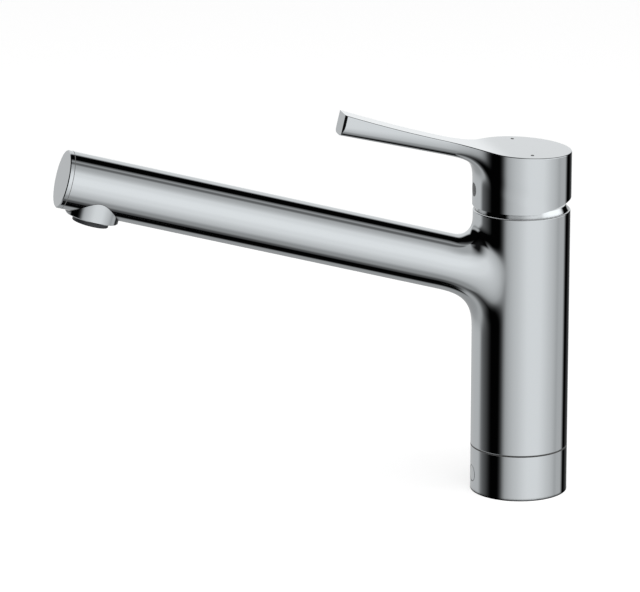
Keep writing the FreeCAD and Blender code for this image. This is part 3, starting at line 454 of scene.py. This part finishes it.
def net_over(field, axes):
    """Quads over the surface where a field is nought, one corner for each grid cell that it crosses."""
    grid = np.stack(np.meshgrid(*axes, indexing="ij"), -1)
    value = field(grid)
    cells = tuple(n - 1 for n in value.shape)
    total = np.zeros(cells + (3,))
    count = np.zeros(cells)
    for axis in range(3):
        here = [slice(None)] * 3
        there = [slice(None)] * 3
        here[axis], there[axis] = slice(0, -1), slice(1, None)
        v0, v1 = value[tuple(here)], value[tuple(there)]
        crossing = (v0 < 0) != (v1 < 0)
        share = np.where(crossing, v0 / np.where(crossing, v0 - v1, 1), 0)[..., None]
        spot = grid[tuple(here)] * (1 - share) + grid[tuple(there)] * share
        others = [a for a in range(3) if a != axis]
        for i in (0, 1):
            for j in (0, 1):
                part = [slice(None)] * 3
                part[others[0]] = slice(i, i + cells[others[0]])
                part[others[1]] = slice(j, j + cells[others[1]])
                hit = crossing[tuple(part)]
                total += np.where(hit[..., None], spot[tuple(part)], 0)
                count += hit
    used = count > 0
    index = np.full(cells, -1)
    index[used] = np.arange(used.sum())
    corners = total[used] / count[used][:, None]
    quads = []
    for axis in range(3):
        here = [slice(1, -1)] * 3
        there = [slice(1, -1)] * 3
        here[axis], there[axis] = slice(0, -1), slice(1, None)
        inside = value[tuple(here)] < 0
        crossing = inside != (value[tuple(there)] < 0)
        first, second = [(1, 2), (2, 0), (0, 1)][axis]
        ring = []
        for i, j in ((0, 0), (1, 0), (1, 1), (0, 1)):
            part = [slice(None)] * 3
            part[first] = slice(i, i + cells[first] - 1)
            part[second] = slice(j, j + cells[second] - 1)
            ring.append(index[tuple(part)])
        faces = np.stack(ring, -1)
        quads += faces[crossing & inside].tolist() + faces[crossing & ~inside][:, ::-1].tolist()
    return corners, quads


def grid_across(radius):
    """Grid lines from side to side of a form, placed evenly about its middle plane."""
    half = SKIN_CELL * (math.ceil((radius + SKIN_PAD) / SKIN_CELL) + 0.5)
    return np.arange(-half, half + SKIN_CELL / 2, SKIN_CELL)


def start_skin(places, quads, ways):
    """A bmesh of the skin, whose corners carry the way that the true surface faces."""
    shape = bmesh.new()
    facing = shape.verts.layers.float_vector.new("facing")
    made = []
    for place, way in zip(places.tolist(), ways.tolist()):
        corner = shape.verts.new(place)
        corner[facing] = way
        made.append(corner)
    for quad in quads:
        shape.faces.new([made[i] for i in quad])
    return shape, facing


def cut_off(shape, place, way, cap=False):
    """Cuts away what lies beyond a plane, and closes the cut when asked."""
    parts = shape.verts[:] + shape.edges[:] + shape.faces[:]
    cut = bmesh.ops.bisect_plane(
        shape, geom=parts, dist=CUT_SLACK, plane_co=place, plane_no=way, clear_outer=True)
    if cap:
        edges = [e for e in cut["geom_cut"] if isinstance(e, bmesh.types.BMEdge)]
        bmesh.ops.contextual_create(shape, geom=edges)


def open_edge(shape, test):
    """The corners along an open edge of the shape, in order."""
    beside = {}
    for edge in shape.edges:
        a, b = edge.verts
        if edge.is_boundary and test(a.co) and test(b.co):
            beside.setdefault(a, []).append(b)
            beside.setdefault(b, []).append(a)
    ends = [corner for corner, near in beside.items() if len(near) == 1]
    chain = [ends[0] if ends else next(iter(beside))]
    for _ in beside:
        onward = [corner for corner in beside[chain[-1]] if corner not in chain[-2:-1]]
        if not onward or onward[0] is chain[0]:
            break
        chain.append(onward[0])
    return chain


def grow(shape, facing, ring, places, ways=None, closed=True):
    """Adds the next ring of corners and the quads up to it."""
    fresh = []
    for i, place in enumerate(places):
        corner = shape.verts.new(place)
        if ways is not None:
            corner[facing] = ways[i]
        fresh.append(corner)
    for i in range(len(ring) if closed else len(ring) - 1):
        j = (i + 1) % len(ring)
        shape.faces.new([ring[i], ring[j], fresh[j], fresh[i]])
    return fresh


def edge_round(shape, facing, ring, outward, upward, radius, closed=True):
    """Rounds over an edge in small steps, from its outward way to its upward way."""
    base = [corner.co.copy() for corner in ring]
    for turn in ROUND_TURNS:
        cosine, sine = math.cos(math.radians(turn)), math.sin(math.radians(turn))
        places, ways = [], []
        for place, out, up in zip(base, outward, upward):
            places.append(place + radius * (sine * Vector(up) - (1 - cosine) * Vector(out)))
            ways.append((cosine * Vector(out) + sine * Vector(up)).normalized())
        ring = grow(shape, facing, ring, places, ways, closed)
    return ring


def to_radius(ring, radius, height):
    """The corners of a ring drawn in to a radius, at a height or at a height for each corner."""
    places = []
    for corner in ring:
        share = radius / math.hypot(corner.co.x, corner.co.y)
        x, y = corner.co.x * share, corner.co.y * share
        places.append((x, y, height(x) if callable(height) else height))
    return places


def finish_casting(name, shape, facing, node, body):
    """Turns the shape into a chrome piece, shaded as the true form and not as its facets."""
    bmesh.ops.recalc_face_normals(shape, faces=shape.faces[:])
    mesh = bpy.data.meshes.new(name)
    shape.to_mesh(mesh)
    shape.free()
    ways = []
    true = [Vector(way.vector) for way in mesh.attributes["facing"].data]
    for face in mesh.polygons:
        for corner in face.vertices:
            way = true[corner].normalized()
            ways.append(way if way.dot(face.normal) > SAME_FACE else face.normal)
    mesh.transform(Matrix.Scale(MM, 4))
    mesh.shade_smooth()
    mesh.normals_split_custom_set([tuple(way) for way in ways])
    mesh.attributes.remove(mesh.attributes["facing"])
    casting = bpy.data.objects.new(name, mesh)
    bpy.context.scene.collection.objects.link(casting)
    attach(casting, body)
    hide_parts(node)
    return casting


def handle_casting():
    """The handle as one casting, its neck and heel flowing into the drum."""
    form = HandleForm()
    deep = float(form.top(-form.radius)) - form.bottom + SKIN_PAD
    axes = (
        np.arange(-form.tip - SKIN_PAD, form.radius + SKIN_PAD, SKIN_CELL),
        grid_across(form.radius),
        np.arange(-deep, SKIN_PAD, SKIN_CELL),
    )

    def raised(points):
        """Points measured from the top face, put where they really are."""
        x = points[..., 0]
        return points + np.stack([0 * x, 0 * x, form.top(x)], -1)

    corners, quads = net_over(lambda grid: form.skin(raised(grid)), axes)
    corners = settle(form.skin, raised(corners))
    ways = unit(slope_of(form.skin, corners))
    corners[:, 2] -= form.top(corners[:, 0])
    shape, facing = start_skin(corners, quads, ways)
    cut_off(shape, (0, 0, -HANDLE_EDGE), (0, 0, 1))
    rim = open_edge(shape, lambda place: abs(place.z + HANDLE_EDGE) < ON_PLANE)
    outward = form.plan(np.array([corner.co for corner in rim]))[1]
    upward = form.top_way(np.array([corner.co.x for corner in rim]))
    lean = [(0, 0, 1)] * len(rim)
    ring = edge_round(shape, facing, rim, outward, lean, HANDLE_EDGE, closed=False)
    for corner, way in zip(ring, upward):
        corner[facing] = way
    last = len(ring) - 1
    for i in range(last // 2):
        around = [ring[i], ring[i + 1], ring[last - i - 1], ring[last - i]]
        shape.faces.new(list(dict.fromkeys(around)))
    for corner in shape.verts:
        corner.co.z += float(form.top(corner.co.x))

    cut_off(shape, form.foot, form.tip_way, cap=True)
    for side in (-1, 1):
        slant = form.tip_way + np.array([0, side, 0])
        corner = form.foot + np.array([0, side * LEVER_HALF_WIDTH, 0])
        cut_off(shape, corner - slant * LEVER_TIP_CHAMFER / 2, unit(slant), cap=True)
    relief = math.radians(RELIEF_TILT)
    cut_off(shape, (0, 0, form.bottom), (0, 0, -1))
    cut_off(shape, (RELIEF_START, 0, form.bottom), (math.sin(relief), 0, -math.cos(relief)))
    edge = open_edge(shape, lambda place: True)
    bore = form.radius - HANDLE_WALL
    skirt = form.radius - SKIRT_T
    skirt_top = form.bottom + SKIRT_DEPTH
    roof = float(form.top(form.radius)) - HANDLE_ROOF
    ring = grow(shape, facing, edge, to_radius(
        edge, skirt, lambda x: form.bottom + max(x - RELIEF_START, 0) * math.tan(relief)))
    for radius, height in ((skirt, skirt_top), (bore, skirt_top), (bore, roof)):
        ring = grow(shape, facing, ring, to_radius(edge, radius, height))
    shape.faces.new(ring)
    return finish_casting("handle_casting", shape, facing, "handle", "lever")


def spout_casting():
    """Column and spout as one casting with the wide blend between them."""
    form = ColumnForm()
    low = form.foot + BLEND_FOOT
    far = form.along * BLEND_REACH
    axes = (
        np.arange(far[0] - SPOUT_RADIUS / 2 - SKIN_PAD, form.radius + SKIN_PAD, SKIN_CELL),
        grid_across(form.radius),
        np.arange(low - SKIN_PAD, form.rim + SKIN_PAD, SKIN_CELL),
    )
    corners, quads = net_over(form.skin, axes)
    corners = settle(form.skin, corners)
    shape, facing = start_skin(corners, quads, unit(slope_of(form.skin, corners)))
    cut_off(shape, (0, 0, form.rim - RIM_ROUND), (0, 0, 1))
    cut_off(shape, (0, 0, low), (0, 0, -1))
    cut_off(shape, form.start + far, form.along)

    top = open_edge(shape, lambda place: place.z > form.rim - RIM_ROUND - ON_PLANE)
    outward = [Vector((corner.co.x, corner.co.y, 0)).normalized() for corner in top]
    top = edge_round(shape, facing, top, outward, [(0, 0, 1)] * len(top), RIM_ROUND)
    lip = form.radius - RIM_LIP
    top = grow(shape, facing, top, to_radius(top, lip, form.rim))
    top = grow(shape, facing, top, to_radius(top, lip, form.rim - TRIM_STEP))

    bottom = open_edge(shape, lambda place: place.z < low + ON_PLANE)
    outward = [Vector((corner.co.x, corner.co.y, 0)).normalized() for corner in bottom]
    foot = to_radius(bottom, form.radius, form.foot + FOOT_ROUND)
    bottom = grow(shape, facing, bottom, foot, outward)
    bottom = edge_round(shape, facing, bottom, outward, [(0, 0, -1)] * len(bottom), FOOT_ROUND)
    bore = form.radius - COLUMN_WALL
    bottom = grow(shape, facing, bottom, to_radius(bottom, bore, form.foot))
    bottom = grow(shape, facing, bottom, to_radius(bottom, bore, form.rim - TRIM_STEP))
    loops = set(top) | set(bottom)
    edges = [edge for edge in shape.edges if edge.is_boundary and loops.issuperset(edge.verts)]
    bmesh.ops.bridge_loops(shape, edges=edges)

    end = open_edge(shape, lambda place: place.x < far[0] / 2)
    along = Vector(form.along)
    start = Vector(form.start)
    outward = []
    for corner in end:
        offset = corner.co - start
        outward.append((offset - offset.dot(along) * along).normalized())
    for reach, radius in SPOUT_END:
        places = [start + along * reach + way * radius for way in outward]
        end = grow(shape, facing, end, places, outward if radius == SPOUT_RADIUS else None)
    shape.faces.new(end)
    return finish_casting("spout_casting", shape, facing, "spout_body", "spout")


def screw_cover():
    """The little round cover in the base: its face follows the base and its rim rounds into the joint."""
    low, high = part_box("base_screw_cover")
    middle_z = (low.z + high.z) / 2 / MM
    radius = (high.z - low.z) / 2 / MM - COVER_JOINT
    base_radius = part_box("base_housing")[1].x / MM
    shape = bmesh.new()
    facing = shape.verts.layers.float_vector.new("facing")
    turns = [2 * math.pi * i / COVER_SIDES for i in range(COVER_SIDES)]

    def ring_at(reach, sink):
        """A ring on the cover's face, sunk a little, with the ways out of the base and out of the ring."""
        places, ways = [], []
        for turn in turns:
            y, z = reach * math.cos(turn), reach * math.sin(turn)
            x = -math.sqrt(base_radius ** 2 - y * y)
            places.append((x + sink, y, middle_z + z))
            out = Vector((x, y, 0)) / base_radius
            ways.append((out, Vector((0, math.cos(turn), math.sin(turn)))))
        return places, ways

    back = ring_at(radius, COVER_ROUND + COVER_DEPTH)[0]
    ring = [shape.verts.new(place) for place in back]
    shape.faces.new(ring)
    for turn in (*reversed(ROUND_TURNS), 0):
        cosine, sine = math.cos(math.radians(turn)), math.sin(math.radians(turn))
        places, ways = ring_at(radius - COVER_ROUND * (1 - sine), COVER_ROUND * (1 - cosine))
        mixed = [(cosine * out + sine * rim).normalized() for out, rim in ways]
        ring = grow(shape, facing, ring, places, mixed)
    for share in COVER_RINGS:
        places, ways = ring_at((radius - COVER_ROUND) * share, 0)
        ring = grow(shape, facing, ring, places, [out for out, rim in ways])
    shape.faces.new(ring)
    return finish_casting("screw_cover_cap", shape, facing, "base_screw_cover", "base")


def dress():
    """Gives every node the finish that the real piece has."""
    finishes = {
        chrome_plate(): [
            "base_housing", "base_screw_cover", "trim_ring", "spout_body", "spout_end_cap", "outlet_collar",
            "handle", "handle_casting", "spout_casting", "screw_cover_cap",
        ],
        # Brass from the lathe shows warm, with fine bright rings
        turned("turned_brass", "#C9A566", 0.25, 0.28): ["mounting_foot", "inner_body", "cartridge_nut"],
        # Stainless steel has the same rings, closer together, in a neutral grey
        turned("stainless_steel", "#C3C3C4", 0.2, 0.25): [
            "base_clamp_screw", "foot_screws", "swivel_stop_pin", "pivot_pin", "spindle",
            "handle_grub_screw", "aerator_mesh",
        ],
        # Acetal looks waxy, with a soft sheen
        moulded("white_acetal", "#E6E6E2", 0.4, 0.42): [
            "lower_bearing_ring", "upper_bearing_ring", "cartridge_base", "cartridge_housing",
            "lever_guide", "disc_carrier", "aerator_insert",
        ],
        moulded("grey_acetal", "#828486", 0.3, 0.38): ["handle_screw_plug", "index_dots"],
        moulded("dark_acetal", "#44464A", 0.35, 0.4): ["aerator_housing"],
        # Alumina, pressed, fired and lapped flat, is a clean white that shines more than the plastics
        moulded("lapped_alumina", "#F0EEEA", 0.2, 0.22): ["fixed_disc", "moving_disc"],
        # Nitrile rubber is nearly black and matt
        moulded("nitrile_rubber", "#262626", 0.5, 0.6): [
            "base_gasket", "lower_swivel_seal", "upper_swivel_seal", "cartridge_port_seals", "trim_o_ring",
            "end_cap_o_ring", "aerator_washer",
        ],
    }
    castings = [handle_casting(), spout_casting(), screw_cover()]
    shown = {**nodes, **{casting.name: casting for casting in castings}}
    for finish, pieces in finishes.items():
        for piece in pieces:
            mesh = shown[piece].data
            mesh.materials.clear()
            mesh.materials.append(finish)
    for piece in shown.values():
        piece.visible_glossy = False


def make_floor():
    """A pale floor that reads as white and keeps the shadow under the tap."""
    material, tree = new_material("white_studio_floor")
    matt = add(tree, "ShaderNodeBsdfDiffuse", {"Color": linear("#E6E6E6")})
    glow = add(tree, "ShaderNodeEmission", {"Color": linear("#FFFFFF"), "Strength": FLOOR_GLOW})
    both = add(tree, "ShaderNodeAddShader", {0: matt.outputs[0], 1: glow.outputs[0]})
    rays = add(tree, "ShaderNodeLightPath")
    shown = add(tree, "ShaderNodeMixShader", {
        0: rays.outputs["Is Camera Ray"],
        1: matt.outputs[0],
        2: both.outputs[0],
    })
    add(tree, "ShaderNodeOutputMaterial", {"Surface": shown.outputs[0]})
    mesh = bpy.data.meshes.new("floor")
    turns = [2 * math.pi * i / FLOOR_SIDES for i in range(FLOOR_SIDES)]
    rim = [(FLOOR_RADIUS * math.cos(turn), FLOOR_RADIUS * math.sin(turn), 0) for turn in turns]
    mesh.from_pydata(rim, [], [range(FLOOR_SIDES)])
    mesh.materials.append(material)
    floor = bpy.data.objects.new("floor", mesh)
    bpy.context.scene.collection.objects.link(floor)
    floor.visible_glossy = False


def pool_of_light(tree, way, middle, fade):
    """Greys that follow the angle between a direction and the middle of a softbox."""
    cosine = add(tree, "ShaderNodeVectorMath", {0: way, 1: direction(*middle)}, operation="DOT_PRODUCT")
    angle = add(tree, "ShaderNodeMath", {0: cosine.outputs["Value"]}, operation="ARCCOSINE")
    share = add(tree, "ShaderNodeMath", {0: angle.outputs[0], 1: math.pi}, operation="DIVIDE")
    ramp = add(tree, "ShaderNodeValToRGB", {0: share.outputs[0]})
    stops = ramp.color_ramp.elements
    stops.remove(stops[1])
    for degrees, grey in fade.items():
        stop = stops.new(degrees / 180) if degrees else stops[0]
        stop.color = linear(grey)
    return ramp.outputs[0]


def panel_over(tree, room, azimuth, elevation, middle_azimuth, middle_elevation, wide, high, soft, grey):
    """Hangs a panel with soft edges in front of the room."""
    across = add(tree, "ShaderNodeMath", {0: azimuth, 1: float(middle_azimuth)}, operation="SUBTRACT")
    across = add(tree, "ShaderNodeMath", {0: across.outputs[0], 1: -180.0, 2: 180.0}, operation="WRAP")
    up = add(tree, "ShaderNodeMath", {0: elevation, 1: float(middle_elevation)}, operation="SUBTRACT")
    cover = []
    for offset, half in ((across, wide), (up, high)):
        distance = add(tree, "ShaderNodeMath", {0: offset.outputs[0]}, operation="ABSOLUTE")
        edge = add(tree, "ShaderNodeMapRange", {
            0: distance.outputs[0],
            1: half + soft / 2,
            2: half - soft / 2,
        }, interpolation_type="SMOOTHSTEP")
        cover.append(edge.outputs[0])
    both = add(tree, "ShaderNodeMath", {0: cover[0], 1: cover[1]}, operation="MULTIPLY")
    hung = add(tree, "ShaderNodeMix", {0: both.outputs[0], 6: room, 7: linear(grey)}, data_type="RGBA")
    return hung.outputs[2]


def make_room():
    """The world: white to the camera, and to all other rays the lit room with its black frame."""
    world = bpy.data.worlds.new("studio")
    bpy.context.scene.world = world
    world.use_nodes = True
    tree = world.node_tree
    tree.nodes.clear()
    way = add(tree, "ShaderNodeTexCoord").outputs["Generated"]
    flat = add(tree, "ShaderNodeSeparateXYZ", {0: way})
    around = add(tree, "ShaderNodeMath", {0: flat.outputs[1], 1: flat.outputs[0]}, operation="ARCTAN2")
    above = add(tree, "ShaderNodeMath", {0: flat.outputs[2]}, operation="ARCSINE")
    azimuth, elevation = [
        add(tree, "ShaderNodeMath", {0: angle.outputs[0]}, operation="DEGREES").outputs[0]
        for angle in (around, above)
    ]
    room = add(tree, "ShaderNodeMix", {
        0: 1.0,
        6: pool_of_light(tree, way, FRONT_SOFTBOX, FRONT_FADE),
        7: pool_of_light(tree, way, BACK_SOFTBOX, BACK_FADE),
    }, data_type="RGBA", blend_type="LIGHTEN").outputs[2]
    for panel in PANELS.values():
        room = panel_over(tree, room, azimuth, elevation, *panel)
    light = add(tree, "ShaderNodeBackground", {"Color": room, "Strength": ROOM_LEVEL})
    white = add(tree, "ShaderNodeBackground", {"Color": linear("#FFFFFF"), "Strength": 1.0})
    rays = add(tree, "ShaderNodeLightPath")
    shown = add(tree, "ShaderNodeMixShader", {
        0: rays.outputs["Is Camera Ray"],
        1: light.outputs[0],
        2: white.outputs[0],
    })
    add(tree, "ShaderNodeOutputWorld", {"Surface": shown.outputs[0]})


def make_lamp(name, place, aim, size, power):
    """A soft square lamp that chrome doesn't mirror."""
    data = bpy.data.lights.new(name, "AREA")
    data.size = size
    data.energy = power
    lamp = bpy.data.objects.new(name, data)
    bpy.context.scene.collection.objects.link(lamp)
    turn = (place - aim).to_track_quat("Z", "Y").to_matrix().to_4x4()
    lamp.matrix_world = Matrix.Translation(place) @ turn
    lamp.visible_glossy = False


def make_camera():
    """The camera, far off and unshifted, so that other views keep its lens."""
    camera = bpy.data.objects.new("camera", bpy.data.cameras.new("camera"))
    bpy.context.scene.collection.objects.link(camera)
    camera.data.sensor_width = SENSOR_WIDTH
    camera.data.lens = FOCAL_PX / IMAGE_WIDTH_PX * SENSOR_WIDTH
    camera.data.clip_end = 100
    back = direction(CAMERA_AZIMUTH - 90, CAMERA_ELEVATION)
    turn = back.to_track_quat("Z", "Y").to_matrix().to_4x4()
    camera.matrix_world = Matrix.Translation(CAMERA_AIM + back * CAMERA_DISTANCE) @ turn
    bpy.context.scene.camera = camera


bpy.context.scene.view_settings.view_transform = "Standard"
dress()
make_floor()
make_room()
make_lamp("overhead_softbox", LAMP_PLACE, LAMP_AIM, LAMP_SIZE, LAMP_POWER)
make_camera()
